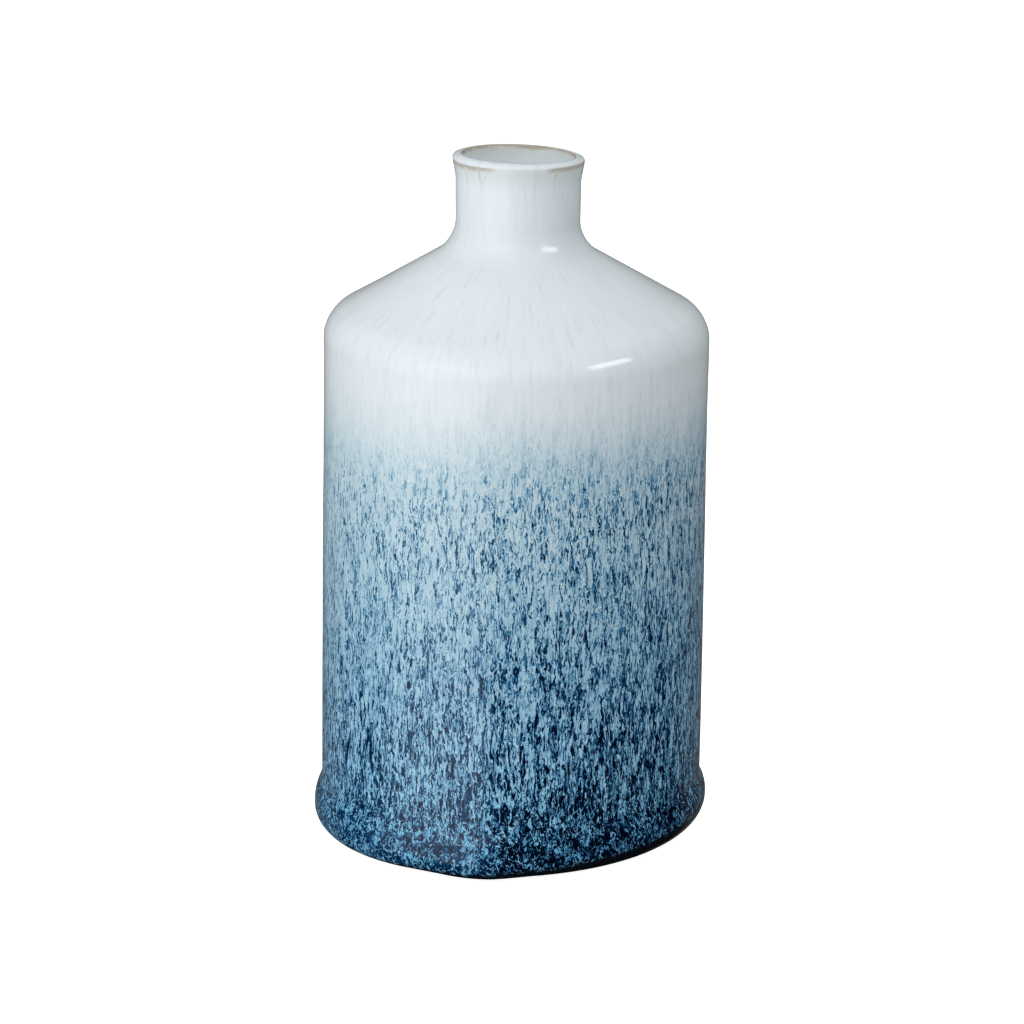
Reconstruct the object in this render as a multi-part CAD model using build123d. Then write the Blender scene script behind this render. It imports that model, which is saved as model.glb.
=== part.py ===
from build123d import *
from math import cos, radians, sin, tan
import os

# Bottle vase: one fired stoneware vessel, round in plan, with the glaze coats fused to it.
# Millimetres, +Z up. The origin is the centre of the foot ring's resting face.
# Half of the clay wall is drawn once, to the right of the axis, and turned about Z.
# Each glaze coat is the skin between that clay and the same outline grown by the glaze.

# Whole vessel
overall_height = 300.0
glaze_thickness = 0.5

# Body: a tall drum, very slightly narrower at the shoulder
body_radius = 83.0
body_taper = 0.6
shoulder_round = 17.0

# Foot: drawn in to the crease under the body, widest near the table, turned in below
foot_height = 25.4
foot_flare = 2.85
crease_round_share = 0.25
foot_high_share = 0.75
foot_high_round_share = 0.78
foot_low_share = 0.374
foot_low_round_share = 0.39
underside_inset = 5.25
underside_share = 0.146
underside_round_share = 0.39

# Foot ring: the bare clay that the vessel stands on
ring_inset = 19.0
ring_width = 8.0
ring_height = 1.4
ring_edge_round = 0.7
recess_depth = 4.0
recess_round = 1.6

# Shoulder and neck
shoulder_slope = 29.8
neck_radius = 26.0
neck_taper = 0.3
neck_height = 37.3
neck_root_round = 17.7

# Lip: flared a little, its top sloping down and outwards from the mouth
lip_overhang = 1.9
lip_flare_drop = 9.6
lip_flare_round = 14.0
lip_slope = 21.0
lip_round = 1.0
mouth_flare = 2.2
mouth_lean = 8.0
mouth_round = 1.0

# Inside
wall = 5.0
neck_wall = 3.7
floor_thickness = 8.0
floor_round = 16.0
inner_root_round = 8.0
inner_flare_round = 10.0

# Glaze edges
fade_height = 178.0
foot_band_height = 6.5
edge_setback = 1.5
edge_bead_radius = 0.9
recess_glaze_height = 1.5
overrun = 5.0

# Heights and radii that follow from the sizes above
clay_height = overall_height - glaze_thickness
shoulder_radius = body_radius - body_taper
foot_radius = body_radius + foot_flare
underside_radius = foot_radius - underside_inset
underside_height = foot_height * underside_share
ring_outer_radius = foot_radius - ring_inset
ring_inner_radius = ring_outer_radius - ring_width
neck_root_height = clay_height - neck_height
lip_radius = neck_radius + lip_overhang
bore_radius = neck_radius - neck_wall
mouth_radius = bore_radius + mouth_flare
floor_top = recess_depth + floor_thickness
glaze_edge_radius = ring_outer_radius + edge_setback
side = foot_radius + overrun
top = overall_height + overrun


def cone_height(radius, depth):
    """Height of the sloping shoulder at a radius, on a line that lies this deep in the clay."""
    slope = radians(shoulder_slope)
    return neck_root_height - (radius - neck_radius) * tan(slope) - depth / cos(slope)


def lip_corners():
    """Sharp corners of the lip, set so that the rounded mouth edge just reaches the clay's height."""
    half_angle = radians((90 - lip_slope + mouth_lean) / 2)
    peak = mouth_round * (sin(radians(lip_slope) + half_angle) / sin(half_angle) - 1)
    mouth_corner = clay_height + peak
    lip_corner = mouth_corner - (lip_radius - mouth_radius) * tan(radians(lip_slope))
    return mouth_corner, lip_corner


def outer_corners():
    """Outside of the clay from the foot ring up to the lip: radius, height and rounding."""
    lip_corner = lip_corners()[1]
    return [
        (ring_outer_radius, 0, ring_edge_round),
        (ring_outer_radius, ring_height, 0),
        (underside_radius, underside_height, foot_height * underside_round_share),
        (foot_radius, foot_height * foot_low_share, foot_height * foot_low_round_share),
        (foot_radius, foot_height * foot_high_share, foot_height * foot_high_round_share),
        (body_radius, foot_height, foot_height * crease_round_share),
        (shoulder_radius, cone_height(shoulder_radius, 0), shoulder_round),
        (neck_radius, neck_root_height, neck_root_round),
        (neck_radius + neck_taper, clay_height - lip_flare_drop, lip_flare_round),
        (lip_radius, lip_corner, lip_round),
    ]


def inner_corners():
    """Inside of the clay from the floor's centre up to where the mouth starts to flare."""
    inner_shoulder = shoulder_radius - wall
    flare_drop = mouth_flare / tan(radians(mouth_lean))
    return [
        (0, floor_top, 0),
        (body_radius - wall, floor_top, floor_round),
        (inner_shoulder, cone_height(inner_shoulder, wall), shoulder_round - wall),
        (bore_radius, cone_height(bore_radius, wall), inner_root_round),
        (bore_radius, lip_corners()[0] - flare_drop, inner_flare_round),
    ]


def section(corners):
    """Flat face beside the axis from its corners, each with its own rounding."""
    points = [(radius, height) for radius, height, rounding in corners]
    roundings = [rounding for radius, height, rounding in corners]
    return make_face(Plane.XZ * FilletPolyline(*points, radius=roundings, close=True))


def block(inner, outer, low, high):
    """Rectangle beside the axis, used to keep or cut a stretch of a section."""
    corner = Pos(inner, low) * Rectangle(outer - inner, high - low, align=(Align.MIN, Align.MIN))
    return Plane.XZ * corner


def clay_section():
    """Half section of the clay: recess and foot ring, outside, lip, and back down the inside."""
    recess = [
        (0, recess_depth, 0),
        (ring_inner_radius, recess_depth, recess_round),
        (ring_inner_radius, 0, ring_edge_round),
    ]
    mouth = [(mouth_radius, lip_corners()[0], mouth_round)]
    return section(recess + outer_corners() + mouth + inner_corners()[::-1])


def hollow_section():
    """Half section of the space inside, run on upwards past the lip along the mouth's lean."""
    lean_out = (top - lip_corners()[0]) * tan(radians(mouth_lean))
    return section(inner_corners() + [(mouth_radius + lean_out, top, 0), (0, top, 0)])


def glaze_bead(clay):
    """Thick rounded edge where the glaze stopped running, just clear of the foot ring."""
    rise = (underside_height - ring_height) / (underside_radius - ring_outer_radius)
    height = ring_height + edge_setback * rise
    return Plane.XZ * Pos(glaze_edge_radius, height) * Circle(edge_bead_radius) - clay


def coat_sections(clay):
    """Half section of each glaze coat, all cut from one skin of even thickness."""
    skin = offset(clay, glaze_thickness) - clay
    skin = skin & block(0, side, -overrun, top)
    liner = skin & hollow_section()
    under = skin & block(0, ring_inner_radius, recess_glaze_height, recess_depth)
    outside = skin - hollow_section()
    foot = outside & block(glaze_edge_radius, side, 0, foot_band_height)
    return {
        "white_glaze": outside & block(bore_radius, side, fade_height, top),
        "blue_glaze": outside & block(underside_radius, side, foot_band_height, fade_height),
        "foot_glaze": foot + glaze_bead(clay),
        "liner_glaze": liner,
        "underside_glaze": under,
    }


def turned(face):
    """Solid of revolution about the vessel's axis."""
    return revolve(face, axis=Axis.Z)


clay = clay_section()
os.makedirs("parts", exist_ok=True)
export_step(turned(clay), "parts/stoneware_body.step")
for name, coat in coat_sections(clay).items():
    export_step(turned(coat), f"parts/{name}.step")
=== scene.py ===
from math import cos, pi, radians, sin

import bmesh
import bpy
from mathutils import Matrix, Vector, noise


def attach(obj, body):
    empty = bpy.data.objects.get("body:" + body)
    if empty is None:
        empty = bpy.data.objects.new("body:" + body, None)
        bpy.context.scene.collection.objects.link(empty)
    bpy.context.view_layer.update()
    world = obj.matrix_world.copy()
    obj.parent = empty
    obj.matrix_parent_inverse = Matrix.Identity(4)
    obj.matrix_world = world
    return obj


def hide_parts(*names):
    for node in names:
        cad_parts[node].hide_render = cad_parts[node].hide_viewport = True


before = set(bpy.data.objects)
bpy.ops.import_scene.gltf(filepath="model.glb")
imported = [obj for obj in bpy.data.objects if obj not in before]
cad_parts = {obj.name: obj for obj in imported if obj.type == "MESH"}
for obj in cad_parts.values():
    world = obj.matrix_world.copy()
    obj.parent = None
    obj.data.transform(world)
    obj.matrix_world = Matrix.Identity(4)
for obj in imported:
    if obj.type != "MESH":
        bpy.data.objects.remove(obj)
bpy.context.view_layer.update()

# ---------------------------------------------------------------------------
# Clay body. The vessel itself: one thrown and trimmed piece of buff stoneware, from the foot
# ring up to the lip. Glaze covers all of it but the ring that it stands on, where the bare,
# slightly gritty clay shows. Half its wall is drawn once, in millimetres, and turned.

# Corners of the drawing, each with its radius, height and rounding.
foot_ring = [(58.85, 4.0, 1.6), (58.85, 0.0, 0.7), (66.85, 0.0, 0.7), (66.85, 1.4, 0.0)]
foot_line = [(80.6, 3.71, 9.9), (85.85, 9.5, 9.9), (85.85, 19.05, 19.8), (83.0, 25.4, 6.35)]
wall_line = [(82.4, 229.9, 17.0), (26.0, 262.2, 17.7), (26.3, 289.9, 14.0), (27.9, 298.58, 1.0)]
mouth_edge = (24.5, 299.88, 1.0)
hollow_line = [(22.3, 284.2, 10.0), (22.3, 258.6, 8.0), (77.4, 227.0, 12.0), (78.0, 12.0, 16.0)]
hollow_floor, recess_top = (0.0, 12.0, 0.0), (0.0, 4.0, 0.0)
clay_pitch = 4.0

# The middle of a bevel's arc misses its corner by this, times the bevel's reach and the sine of
# half the bend. A bend too slight to round is left as it is.
bevel_depth = 0.5858
fewest_facets, hardly_bent = 4, 0.01
everywhere, near_axis = 1000.0, 0.01


def drawn(corners, depth, pitch):
    """Wire beside the axis through the corners, set out by a depth, with points a pitch apart."""
    flat = [Vector((radius, 0, height)) for radius, height, rounding in corners]
    ways = [(after - before).normalized() for before, after in zip(flat, flat[1:])]
    sides = [Vector((way.z, 0, -way.x)) for way in ways]
    wire = bmesh.new()
    ends = zip([sides[0]] + sides, sides + [sides[-1]])
    points = [
        wire.verts.new(corner + (side + next_side) * depth / (1 + side.dot(next_side)))
        for corner, (side, next_side) in zip(flat, ends)
    ]
    for start, end in zip(points, points[1:]):
        wire.edges.new((start, end))
    for point, corner, way, next_way in zip(points[1:], corners[1:], ways, ways[1:]):
        bend = way.angle(next_way)
        rounding = corner[2]
        if rounding == 0 or bend < hardly_bent:
            continue
        rounding += depth if way.cross(next_way).y < 0 else -depth
        missed = rounding * (1 / cos(bend / 2) - 1)
        bmesh.ops.bevel(
            wire, geom=[point], offset=missed / (bevel_depth * sin(bend / 2)),
            offset_type="OFFSET", affect="VERTICES", profile=0.5, material=-1,
            segments=max(fewest_facets, round(rounding * bend / pitch)),
        )
    for edge in wire.edges[:]:
        cuts = round(edge.calc_length() / pitch) - 1
        if cuts > 0:
            bmesh.ops.subdivide_edges(wire, edges=[edge], cuts=cuts)
    return wire


def trimmed(wire, place, way, reach=everywhere):
    """The wire with what lies beyond a place, along a way and within reach, cut off."""
    middle = Vector((place[0], 0, place[1]))
    near = [point for point in wire.verts if (point.co - middle).length < reach]
    edges = [edge for edge in wire.edges if edge.verts[0] in near and edge.verts[1] in near]
    bmesh.ops.bisect_plane(
        wire, geom=near + edges, dist=1e-5, clear_outer=True,
        plane_co=middle, plane_no=(way[0], 0, way[1]),
    )
    return wire


def closed(*wires):
    """One section made of wires, each loose end joined to the nearest end, but not on the axis."""
    section = bmesh.new()
    for wire in wires:
        line = bpy.data.meshes.new("line")
        wire.to_mesh(line)
        section.from_mesh(line)
        bpy.data.meshes.remove(line)
        wire.free()
    loose = [point for point in section.verts if len(point.link_edges) == 1]
    while loose:
        end = loose.pop()
        start = min(loose, key=lambda point: (point.co - end.co).length)
        loose.remove(start)
        if start.co.x + end.co.x > near_axis:
            section.edges.new((start, end))
    return section


# What the hand did to the true form: the wall's wave, the foot's tilt and bump, the sag of the
# shoulder at the front and at the left, and the lip's drop and tilt. All are millimetres, but
# the two tilts, which are a share of the way to the side.
wall_wave, wall_swell = 0.2, 0.12
foot_tilt, foot_bump = 0.043, 3.0
front_sag, left_sag = 4.4, 0.8
lip_drop, lip_tilt = 0.4, 0.024
fade_height = 178.0


def passed(value, start, length):
    """How much of a length a value has passed from its start, from 0 to 1."""
    return min(1, max(0, (value - start) / length))


def hump(value, middle, reach):
    """1 at the middle, falling off to 0 at the reach on either side."""
    return max(0, 1 - ((value - middle) / reach) ** 2)


def by_hand(place):
    """Where a point of a true turned form really lies on this one, which was finished by hand."""
    x, y, z = place
    spread = Vector((x, y)).length
    if z > 1 and spread > 1:
        out = Vector((x, y, 0)).normalized()

        # the wall waves, least where the white and blue coats meet, and swells between its ends
        calm = min(1, abs(z - fade_height) / 12) ** 2
        wave = noise.noise(out * 1.6 + Vector((0, 0, z / 55))) * wall_wave * calm
        place = place + out * (wave + wall_swell * cos(pi * (z - 80) / 95) - 0.05)

        # the foot's lower edge tilts, and takes more of the wall with it at the left
        reach = 62 - 44 * passed(x, -40, 80)
        carried = passed(spread, 67, 11) if z < 10 else hump(z, 10, reach) ** 2
        tilt = foot_tilt * x - 0.7 + 1.1 * passed(-x, 8, 22)
        place.z = max(place.z + tilt * carried, 0.2)

        # the foot has a low bump at the front left, and is a little fuller all along the left
        bump = hump(x, -15, 26) ** 2 if y < 0 else 0
        place += out * (foot_bump * bump + min(0.6, max(0, -x / 90))) * hump(z, 6, 16)

        # the shoulder sags
        place.z -= left_sag * passed(-x, 0, 60) * hump(z, 242, 28)
        place.z -= front_sag * min(0, y / spread) ** 2 * hump(z, 232, 46) ** 2

        # the lip dips to the right
        lip = passed(z, 230, 65)
        place.z -= lip_drop * lip + lip_tilt * x * lip * lip
    return place


doublings, wedge_steps = 5, 10
merging, to_metres = 0.003, 0.001
crease = radians(50)


def turned(name, section):
    """A section turned once about the axis, in 320 steps, as a finished piece in metres."""
    angle = 2 * pi / 2 ** doublings
    about = {"cent": (0, 0, 0)}
    bmesh.ops.spin(
        section, geom=section.verts[:] + section.edges[:], axis=(0, 0, 1), dvec=(0, 0, 0),
        angle=angle, steps=wedge_steps, use_merge=False, use_duplicate=False, **about,
    )
    for doubling in range(doublings):
        whole = section.verts[:] + section.edges[:] + section.faces[:]
        copy = bmesh.ops.duplicate(section, geom=whole)["geom"]
        points = [part for part in copy if isinstance(part, bmesh.types.BMVert)]
        bmesh.ops.rotate(section, verts=points, matrix=Matrix.Rotation(angle, 3, "Z"), **about)
        angle *= 2
    bmesh.ops.remove_doubles(section, verts=section.verts[:], dist=merging)
    bmesh.ops.recalc_face_normals(section, faces=section.faces[:])
    for point in section.verts:
        point.co = by_hand(point.co)
    bmesh.ops.scale(section, vec=(to_metres,) * 3, verts=section.verts[:])
    for face in section.faces:
        face.smooth = True
    for edge in section.edges:
        edge.smooth = edge.calc_face_angle(0) < crease
    mesh = bpy.data.meshes.new(name)
    section.to_mesh(mesh)
    section.free()
    piece = bpy.data.objects.new(name, mesh)
    bpy.context.scene.collection.objects.link(piece)
    return piece


class Finish:
    """A material whose nodes are added one after another."""

    def __init__(self, name):
        self.material = bpy.data.materials.new(name)
        self.material.use_nodes = True
        self.nodes = self.material.node_tree.nodes
        self.links = self.material.node_tree.links
        self.nodes.clear()

    def add(self, kind, inputs, output=0, **settings):
        """One output of a new node, whose inputs are linked to other outputs or set."""
        node = self.nodes.new("ShaderNode" + kind)
        for name, value in settings.items():
            setattr(node, name, value)
        for socket, value in inputs.items():
            if isinstance(value, bpy.types.NodeSocket):
                self.links.new(value, node.inputs[socket])
            else:
                node.inputs[socket].default_value = value
        return node.outputs[output]

    def math(self, operation, *values):
        return self.add("Math", dict(enumerate(values)), operation=operation)

    def times(self, first, second):
        return self.math("MULTIPLY", first, second)

    def off(self, value, middle):
        """How far a value lies from a middle, on either side."""
        return self.math("ABSOLUTE", self.math("SUBTRACT", value, middle))

    def swayed(self, value, pattern, amount, middle=0.5):
        """A value moved up and down by a pattern, which leaves it alone at the pattern's middle."""
        return self.math("MULTIPLY_ADD", self.math("SUBTRACT", pattern, middle), amount, value)

    def shift(self, operation, vector, by):
        socket = "Scale" if operation == "SCALE" else 1
        return self.add("VectorMath", {0: vector, socket: by}, operation=operation)

    def grain(self, place, scale, output=0, **inputs):
        """Noise, with this many grains to each unit of the place."""
        named = {name.capitalize(): value for name, value in inputs.items()}
        return self.add("TexNoise", {"Vector": place, "Scale": scale, **named}, output)

    def step(self, value, low, high, to_low=0.0, to_high=1.0):
        """Smooth change between two numbers while a value goes from low to high."""
        limits = {0: value, 1: low, 2: high, 3: to_low, 4: to_high}
        return self.add("MapRange", limits, interpolation_type="SMOOTHSTEP")

    def curve(self, value, *points):
        node = self.nodes.new("ShaderNodeFloatCurve")
        self.links.new(value, node.inputs["Value"])
        curve = node.mapping.curves[0]
        for point, place in zip(curve.points, (points[0], points[-1])):
            point.location = place
        for place in points[1:-1]:
            curve.points.new(*place)
        node.mapping.update()
        return node.outputs[0]

    def ramp(self, value, *stops):
        node = self.nodes.new("ShaderNodeValToRGB")
        self.links.new(value, node.inputs[0])
        stripes = node.color_ramp.elements
        while len(stripes) < len(stops):
            stripes.new(0.5)
        for stripe, (place, colour) in zip(stripes, stops):
            stripe.position, stripe.color = place, (*colour, 1)
        return node.outputs[0]

    def mix(self, share, first, second, kind="MIX"):
        inputs = {"Factor": share, 6: first, 7: second}
        return self.add("Mix", inputs, 2, data_type="RGBA", blend_type=kind)

    def close(self, colour, roughness, height, deep, **settings):
        """The finished material, with its relief this many metres deep."""
        bump = self.add("Bump", {"Height": height, "Distance": deep, "Strength": 1.0})
        inputs = {"Base Color": colour, "Roughness": roughness, "Normal": bump, **settings}
        return self.end(self.add("BsdfPrincipled", inputs))

    def end(self, surface):
        self.links.new(surface, self.nodes.new("ShaderNodeOutputMaterial").inputs["Surface"])
        return self.material


dark_clay, pale_clay, iron_speck = (0.30, 0.235, 0.17), (0.43, 0.35, 0.26), (0.10, 0.07, 0.05, 1)
clay_roughness, grit_depth = 0.85, 0.00012


def bare_clay():
    finish = Finish("bare_stoneware")
    place = finish.add("TexCoord", {}, "Object")
    grit = finish.grain(place, 900.0, detail=3.0, roughness=0.6)
    cloud = finish.grain(place, 60.0, detail=2.0)
    specks = finish.step(finish.grain(place, 1500.0), 0.66, 0.72)
    tone = finish.ramp(cloud, (0.3, dark_clay), (0.7, pale_clay))
    tone = finish.mix(specks, tone, iron_speck)
    return finish.close(tone, clay_roughness, grit, grit_depth)


clay_line = [
    recess_top, *foot_ring, *foot_line, *wall_line, mouth_edge, *hollow_line, hollow_floor,
]
stoneware = turned("stoneware", closed(drawn(clay_line, 0.0, clay_pitch)))
stoneware.data.materials.append(bare_clay())
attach(stoneware, "root")
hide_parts("stoneware_body")

# ---------------------------------------------------------------------------
# Liner. Pale blue-grey glaze that was poured in, swirled and tipped out, so it coats the
# hollow from the floor up to the mouth's edge. It breaks to brown where it thins on the edge.

glaze_depth = 0.5
liner_pitch, hidden_liner_pitch = 3.4, 12.0
lip_top = (26.3, 299.19, 0.0)
inside_line = [lip_top, mouth_edge, *hollow_line, hollow_floor]

# The liner and the outside glaze meet on the mouth's edge, cut across it along this way.
into_mouth, onto_lip = (-1.07, -0.63), (1.07, 0.63)
cut_reach = 4.0

dim_liner, clear_liner = (0.78, 0.85, 0.87), (0.84, 0.905, 0.92)
thin_liner, burnt_liner = (0.50, 0.44, 0.33, 1), (0.36, 0.28, 0.18, 1)
liner_roughness, liner_relief = 0.14, 0.00006

# Heights in metres between which the edge's colours come or go, and how far they wander.
stain_heights, line_heights, top_heights = (0.2930, 0.2985), (0.2976, 0.2991), (0.2997, 0.2993)
edge_wander = 0.004


def liner_glaze():
    finish = Finish("poured_liner_glaze")
    place = finish.add("TexCoord", {}, "Object")
    sideways = finish.add("SeparateXYZ", {0: place})
    height = finish.math("MULTIPLY_ADD", sideways, lip_tilt, sideways.node.outputs[2])
    wander = finish.grain(place, 90.0, detail=3.0, roughness=0.65)
    cloud = finish.grain(place, 35.0, detail=3.0)
    tone = finish.ramp(cloud, (0.35, dim_liner), (0.65, clear_liner))

    # a soft stain below the edge, and a line of brown along it that is fainter at the very top
    edge = finish.swayed(height, wander, edge_wander)
    stain = finish.step(edge, *stain_heights, 0.0, 0.38)
    tone = finish.mix(stain, tone, thin_liner)
    at_top = finish.step(height, *top_heights, 0.35, 1.0)
    line = finish.times(finish.step(edge, *line_heights, 0.0, 0.78), at_top)
    tone = finish.mix(line, tone, burnt_liner)
    return finish.close(tone, liner_roughness, wander, liner_relief)


liner = turned("liner", closed(*(
    trimmed(drawn(inside_line, depth, pitch), mouth_edge, onto_lip, cut_reach)
    for depth, pitch in ((glaze_depth, liner_pitch), (0.0, hidden_liner_pitch))
)))
liner.data.materials.append(liner_glaze())
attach(liner, "root")
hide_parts("liner_glaze")

# ---------------------------------------------------------------------------
# Glaze under the foot. A patch of the dark blue glaze brushed into the recess inside the foot
# ring, stopping short of the ring so that the vessel doesn't stick to the kiln shelf.

under_edge = 1.5
under_pitch, hidden_under_pitch = 2.5, 10.0
under_line = [recess_top, *foot_ring[:2]]
under_glaze = turned("under_glaze", closed(*(
    trimmed(drawn(under_line, depth, pitch), (0, under_edge), (0, -1))
    for depth, pitch in ((glaze_depth, under_pitch), (0.0, hidden_under_pitch))
)))
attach(under_glaze, "root")
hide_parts("underside_glaze")

# ---------------------------------------------------------------------------
# Outside glaze. A white glaze was sprayed over a blue-black one. In the fire both ran: the
# white stays smooth above, breaks into streaks and flecks on the wall, and is drawn out into
# threads over the dark glaze at the foot. It is one melt, so its three coats share one finish.

foot_band_height = 6.5
melt_stop = 68.35
coat_pitch, hidden_coat_pitch = 1.7, 8.0
in_the_mouth = (24.19, 297.7, 0.0)
outside_line = [foot_ring[3], *foot_line, *wall_line, mouth_edge, in_the_mouth]

body_radius, vessel_height, to_millimetres = 83.0, 300.0, 1000.0
shoulder_run = 0.6

# Heights in millimetres between which a change comes on: first near the foot, among them the
# painted light at the left and the painted shade at the right, then the wall's relief, the streaks,
# marks and break-up of the white, the thin white and painted shade under the lip, which end at its
# top, and last the black band with its painted shade.
slowing_from, slowing_softness = 25.0, 14.0
swirl_heights, vein_heights, curl_heights = (60.0, 10.0), (14.0, 50.0), (42.0, 12.0)
painted_light_heights, painted_shade_heights, relief_heights = (60.0, 15.0), (36.0, 14.0), (215.0, 165.0)
broad_heights, mark_heights, break_heights = (282.0, 300.0), (205.0, 245.0), (172.0, 216.0)
thin_and_shaded_heights, thin_and_shaded_top = (287.0, 296.0), (298.0, 296.6)
rim_heights, rim_top = (294.8, 297.2), (297.9, 297.2)
black_and_shade_heights = (6.0, 7.6)
glaze_roughness, glaze_relief, glaze_refraction = 0.12, 0.00003, 1.45

# The melt's colours, from bare dark glaze to thick white over it.
melt_colours = (
    (0.0, (0.001, 0.003, 0.010)), (0.15, (0.002, 0.018, 0.050)),
    (0.30, (0.005, 0.062, 0.165)), (0.45, (0.026, 0.166, 0.340)),
    (0.60, (0.146, 0.348, 0.508)), (0.75, (0.325, 0.533, 0.665)),
    (0.90, (0.46, 0.65, 0.75)), (1.0, (0.55, 0.71, 0.78)),
)

# By level, from the table at 0 to the mouth at 1: how much white lies in the melt, how strongly
# the flecks stand out, how far above the share of white the palest fleck may go, and a tint.
melt_white = (
    (0.0, -0.06), (0.04, -0.02), (0.08, 0.14), (0.13, 0.295), (0.2, 0.445), (0.30, 0.56),
    (0.39, 0.665), (0.48, 0.735), (0.56, 0.785), (0.65, 0.86), (1.0, 1.0),
)
fleck_contrast = (
    (0.0, 0.92), (0.06, 0.88), (0.10, 0.76), (0.18, 0.56), (0.27, 0.42), (0.44, 0.35),
    (0.55, 0.40), (1.0, 0.40),
)
palest_rise = ((0.0, 0.8), (0.08, 0.6), (0.22, 0.29), (0.4, 0.15), (0.5, 0.12), (1.0, 0.16))
melt_tint = (
    (0.05, (0.74, 1.0, 1.11)), (0.21, (0.97, 1.0, 1.03)),
    (0.37, (1.03, 0.985, 0.965)), (0.55, (1.12, 1.0, 0.95)),
)

thin_white, even_white, thick_white = (0.70, 0.755, 0.78), (0.745, 0.80, 0.83), (0.765, 0.82, 0.85)
# the lip's grey stands for thin white and for painted shade under the lip
streak_grey, lip_grey_and_shade = (0.60, 0.62, 0.55, 1), (0.50, 0.50, 0.43, 1)
# the near-black is pooled glaze and also painted shade under the foot
burnt_brown, pooled_black_and_shade = (0.34, 0.25, 0.14, 1), (0.004, 0.006, 0.010, 1)


def running_glaze():
    finish = Finish("running_glaze")
    place = finish.shift("SCALE", finish.add("TexCoord", {}, "Object"), to_millimetres)
    sideways = finish.add("SeparateXYZ", {0: place})
    height = sideways.node.outputs[2]
    level = finish.math("DIVIDE", height, vessel_height)

    # the surface rolled out: the way round, and the way down over the shoulder and the wall
    flat = finish.shift("MULTIPLY", place, (1, 1, 0))
    around = finish.add("VectorMath", {0: flat}, operation="NORMALIZE")
    around = finish.shift("SCALE", around, body_radius)
    radius = finish.add("VectorMath", {0: flat}, 1, operation="LENGTH")
    inwards = finish.times(finish.math("SUBTRACT", radius, body_radius), shoulder_run)
    run = finish.math("SUBTRACT", height, inwards)

    def laid(stretch):
        """A place on the rolled-out surface, for a pattern drawn out down it by a stretch."""
        down = finish.add("CombineXYZ", {2: finish.times(run, stretch)})
        return finish.shift("ADD", around, down)

    # the flow: drawn out down the wall, swirled more towards the foot, and slowed on it
    swirl = finish.grain(laid(0.5), 0.55, "Color", detail=2.0, roughness=0.6)
    swirl = finish.shift("SUBTRACT", swirl, (0.5, 0.5, 0.5))
    near_foot = finish.step(height, *swirl_heights)
    swirl = finish.shift("SCALE", swirl, finish.math("MULTIPLY_ADD", near_foot, 1.8, 1.8))
    slowed = finish.math("SUBTRACT", slowing_from, height)
    slowed = finish.math("SMOOTH_MAX", slowed, 0.0, slowing_softness)
    slowed = finish.add("CombineXYZ", {2: finish.times(slowed, -0.5)})
    flow = finish.shift("ADD", finish.shift("ADD", laid(0.22), swirl), slowed)

    # flecks, thin dark veins between them, curls on the foot, and wider patches
    flecks = finish.grain(flow, 0.66, detail=2.0, roughness=0.58, distortion=1.8)
    body = finish.step(flecks, 0.27, 0.66, -0.74, 0.52)
    vein = finish.off(finish.grain(flow, 0.50, detail=2.0, roughness=0.5, distortion=0.5), 0.5)
    vein_depth = finish.step(height, *vein_heights, 0.25, 0.48)
    body = finish.swayed(body, finish.step(vein, 0.0, 0.05), vein_depth, 0.75)
    curl = finish.off(finish.grain(flow, 0.38, detail=0.5, roughness=0.4, distortion=1.0), 0.5)
    curl_depth = finish.step(height, *curl_heights, 0.0, 0.75)
    body = finish.swayed(body, finish.step(curl, 0.09, 0.0), curl_depth, 0.35)
    body = finish.swayed(body, finish.grain(flow, 0.20, detail=1.0), 0.75)

    # the melt's tone, with painted light making it paler at the left and painted shade making it
    # darker at the foot's right
    white_share = finish.curve(level, *melt_white)
    dying_out = finish.step(level, 0.64, 0.50, 0.6, 2.0)
    contrast = finish.times(finish.curve(level, *fleck_contrast), dying_out)
    tone = finish.swayed(white_share, body, contrast, 0.11)
    # painted light and shade: the tone rises towards the left and falls towards the right
    tone = finish.math("MULTIPLY_ADD", sideways, -0.0008, tone)
    # painted light: paler still at the left, and more so low down near the foot
    painted_light_at_left = finish.step(sideways, 8.0, -28.0, 0.0, 0.07)
    painted_light_low_down = finish.step(height, *painted_light_heights, 1.0, 2.8)
    tone = finish.math("MULTIPLY_ADD", painted_light_at_left, painted_light_low_down, tone)

    # no darker and no paler than it gets there, apart from fine threads
    threads = finish.grain(flow, 0.95, detail=1.0, distortion=1.0)
    # painted light: the darks stop at a paler tone at the left than at the right
    painted_light_darkest = finish.swayed(finish.step(sideways, 10.0, -12.0, -0.3, 0.13), threads, 0.5)
    tone = finish.math("SMOOTH_MAX", tone, painted_light_darkest, 0.15)
    palest = finish.math("ADD", white_share, finish.curve(level, *palest_rise))
    tone = finish.math("SMOOTH_MIN", tone, finish.swayed(palest, threads, 0.45), 0.12)
    # painted shade: darker at the right, low down on the foot
    painted_shade_at_right = finish.step(sideways, -5.0, 15.0, 0.0, -0.06)
    tone = finish.math("MULTIPLY_ADD", painted_shade_at_right, finish.step(height, *painted_shade_heights), tone)
    blue = finish.ramp(tone, *melt_colours)
    blue = finish.mix(1.0, blue, finish.ramp(level, *melt_tint), "MULTIPLY")

    # white glaze above, with faint streaks down it, broader on the neck
    long_streaks = finish.grain(laid(0.14), 0.50, detail=3.0, roughness=0.6, distortion=0.4)
    broad_streaks = finish.grain(laid(0.30), 0.17, detail=3.0, roughness=0.65, distortion=0.6)
    streaks = finish.mix(finish.step(run, *broad_heights), long_streaks, broad_streaks)
    white = finish.ramp(streaks, (0.25, thin_white), (0.5, even_white), (0.75, thick_white))
    marks = finish.step(run, *mark_heights, 0.14, 0.26)
    marks = finish.times(finish.step(streaks, 0.42, 0.28), marks)
    white = finish.mix(marks, white, streak_grey)
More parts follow.
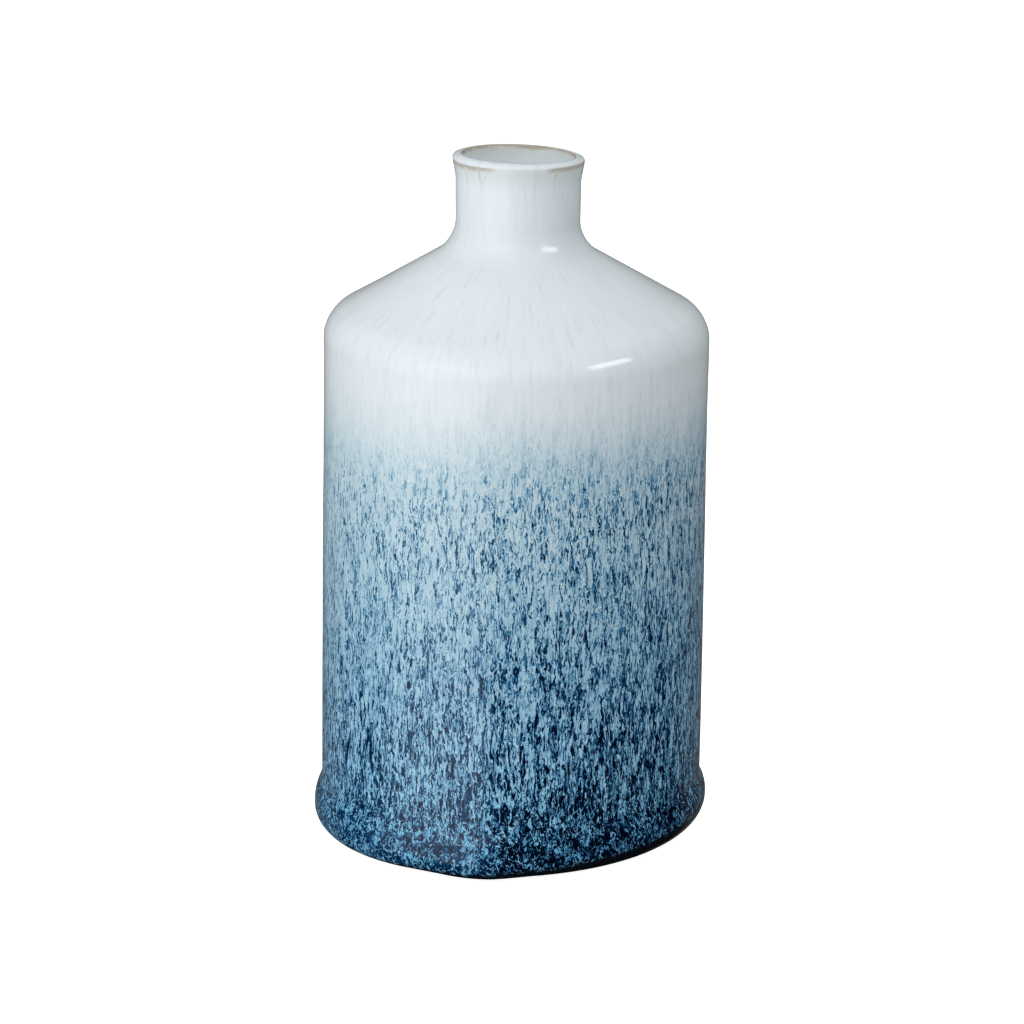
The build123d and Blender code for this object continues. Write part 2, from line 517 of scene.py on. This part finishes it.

    # grey under the lip, partly where the white thins and partly painted shade below the lip, and
    # brown there on two sides
    wander = finish.swayed(height, streaks, 3.0)
    thin_white_and_shade = finish.times(finish.step(wander, *thin_and_shaded_heights), finish.step(height, *thin_and_shaded_top))
    # the grey under the lip is partly painted shade
    white = finish.mix(finish.times(thin_white_and_shade, 0.24), white, lip_grey_and_shade)
    rim = finish.times(finish.step(wander, *rim_heights), finish.step(height, *rim_top))
    drips = finish.times(finish.step(streaks, 0.42, 0.34, 0.0, 0.4), thin_white_and_shade)
    two_sides = finish.step(finish.off(sideways, 1.0), 9.0, 15.0, 0.0, 0.62)
    rim = finish.times(finish.math("MAXIMUM", rim, drips), two_sides)
    white = finish.mix(rim, white, burnt_brown)

    # the uneven edge where the smooth white breaks up
    cloud = finish.grain(laid(0.3), 0.05, detail=2.0)
    edge = finish.swayed(finish.swayed(run, streaks, 20.0), cloud, 16.0)
    colour = finish.mix(finish.step(edge, *break_heights), blue, white)

    # near-black band under the foot, partly where the melt gathered and stopped and partly painted
    # shade under the foot, which makes it wider at the right
    black_and_shade_band = finish.swayed(height, flecks, 7.0)
    black_and_shade_band = finish.math("MULTIPLY_ADD", sideways, -0.055, black_and_shade_band)
    # painted shade: the band widens further at the far right
    shade_far_right = finish.math("MAXIMUM", finish.math("SUBTRACT", sideways, 15.0), 0.0)
    black_and_shade_band = finish.math("MULTIPLY_ADD", shade_far_right, -0.07, black_and_shade_band)
    colour = finish.mix(finish.step(black_and_shade_band, *black_and_shade_heights), pooled_black_and_shade, colour)
    relief = finish.times(tone, finish.step(height, *relief_heights, 0.0, 0.5))
    return finish.close(colour, glaze_roughness, relief, glaze_relief, IOR=glaze_refraction)


def coat(low, high):
    """Section of the outside glaze between two levels, or from the foot or up to the mouth."""
    wires = []
    for depth, pitch in (glaze_depth, coat_pitch), (0.0, hidden_coat_pitch):
        wire = trimmed(drawn(outside_line, depth, pitch), mouth_edge, into_mouth, cut_reach)
        if low:
            wire = trimmed(wire, (0, low), (0, -1))
        else:
            wire = trimmed(wire, (melt_stop, 0), (-1, 0))
        if high:
            wire = trimmed(wire, (0, high), (0, 1))
        wires.append(wire)
    return closed(*wires)


glaze = running_glaze()
for name, node, section in (
    ("white_coat", "white_glaze", coat(fade_height, None)),
    ("blue_coat", "blue_glaze", coat(foot_band_height, fade_height)),
    ("foot_coat", "foot_glaze", coat(None, foot_band_height)),
):
    piece = turned(name, section)
    piece.data.materials.append(glaze)
    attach(piece, "root")
    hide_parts(node)

# The patch under the foot is the same glaze.
under_glaze.data.materials.append(glaze)

# ---------------------------------------------------------------------------
# Studio. A plain pale floor, a large soft panel and a fill at the left, soft panels above, in
# front and behind, and a small lamp high at the right, seen from a little above the shoulder.

floor_mesh = bmesh.new()
bmesh.ops.create_grid(floor_mesh, x_segments=1, y_segments=1, size=12.0)
mesh = bpy.data.meshes.new("floor")
floor_mesh.to_mesh(mesh)
floor_mesh.free()
floor = bpy.data.objects.new("floor", mesh)
bpy.context.scene.collection.objects.link(floor)
paper = Finish("white_paper")
mesh.materials.append(paper.end(paper.add("BsdfPrincipled", {
    "Base Color": (0.9, 0.9, 0.9, 1), "Roughness": 0.9,
    "Emission Color": (1, 1, 1, 1), "Emission Strength": 0.95,
})))
floor.visible_glossy = floor.visible_diffuse = floor.visible_shadow = False

room_colour, room_light = (0.95, 0.98, 1.0, 1), 0.532
world = bpy.data.worlds.new("studio")
bpy.context.scene.world = world
world.use_nodes = True
room = world.node_tree.nodes["Background"].inputs
room["Color"].default_value, room["Strength"].default_value = room_colour, room_light
world.cycles_visibility.glossy = False


def lamp(name, place, aim, size, radiance, **rays):
    """Rectangular soft light at a place, turned to shine at a point."""
    light = bpy.data.lights.new(name, "AREA")
    light.shape, light.size, light.size_y = "RECTANGLE", *size
    light.energy = radiance * pi * size[0] * size[1]
    shown = bpy.data.objects.new(name, light)
    shown.location = place
    shown.rotation_euler = (Vector(aim) - Vector(place)).to_track_quat("-Z", "Y").to_euler()
    shown.visible_camera = False
    for ray, value in rays.items():
        setattr(shown, "visible_" + ray, value)
    bpy.context.scene.collection.objects.link(shown)
    return light


upper_wall, low_shoulder, high_shoulder = (0, 0, 0.2), (0, 0, 0.24), (0, 0, 0.25)
neck_root = (0, 0, 0.26)


def seen_at(turn, rise, far, middle=upper_wall):
    """A place as seen from the vessel: turned from the front, raised, and so far away."""
    turn, rise = radians(turn), radians(rise)
    way = Vector((sin(turn) * cos(rise), -cos(turn) * cos(rise), sin(rise)))
    return Vector(middle) + far * way


panel_place = seen_at(-52, 0, 1.3, neck_root)
left_panel = lamp("left_panel", panel_place, neck_root, (1.96, 2.2), 0.95)
lamp("left_fill", seen_at(-45, 0, 1.3), upper_wall, (1.5, 1.5), 0.32, glossy=False)
lamp("top_panel", (0.12, 0.1, 1.6), upper_wall, (1.6, 1.6), 0.8, glossy=False)
lamp("front_panel", seen_at(5, 46, 1.5), low_shoulder, (2.8, 0.9), 0.6)
lamp("right_lamp", seen_at(60, 35, 1.4), high_shoulder, (0.6, 0.22), 7.0, diffuse=False)
lamp("backdrop", (0, 1.3, 0.3), upper_wall, (5.0, 2.6), 0.10, diffuse=False)

# The large panel fades out over half its width, and so does its reflection in the wall.
fade_from, fade_to, dimmest, brightest = 0.0, 0.5, 0.05, 1.0
left_panel.use_nodes = True
nodes, links = left_panel.node_tree.nodes, left_panel.node_tree.links
across = nodes.new("ShaderNodeSeparateXYZ")
links.new(nodes.new("ShaderNodeNewGeometry").outputs["Parametric"], across.inputs[0])
glow = nodes.new("ShaderNodeMapRange")
glow.interpolation_type = "SMOOTHSTEP"
for socket, value in enumerate((fade_from, fade_to, dimmest, brightest), 1):
    glow.inputs[socket].default_value = value
links.new(across.outputs["X"], glow.inputs["Value"])
links.new(glow.outputs[0], nodes["Emission"].inputs["Strength"])

camera_place, camera_aside, camera_tilt, camera_roll = (0, -1.656, 0.5845), 0.032, 75.04, 0.72
camera_data = bpy.data.cameras.new("camera")
camera_data.sensor_width = 36
camera_data.lens = 138.5
camera = bpy.data.objects.new("camera", camera_data)
camera.matrix_world = (
    Matrix.Translation(camera_place) @ Matrix.Rotation(radians(camera_aside), 4, "Z")
    @ Matrix.Rotation(radians(camera_tilt), 4, "X") @ Matrix.Rotation(radians(camera_roll), 4, "Z")
)
bpy.context.scene.collection.objects.link(camera)
bpy.context.scene.camera = camera
bpy.context.scene.view_settings.view_transform = "Standard"
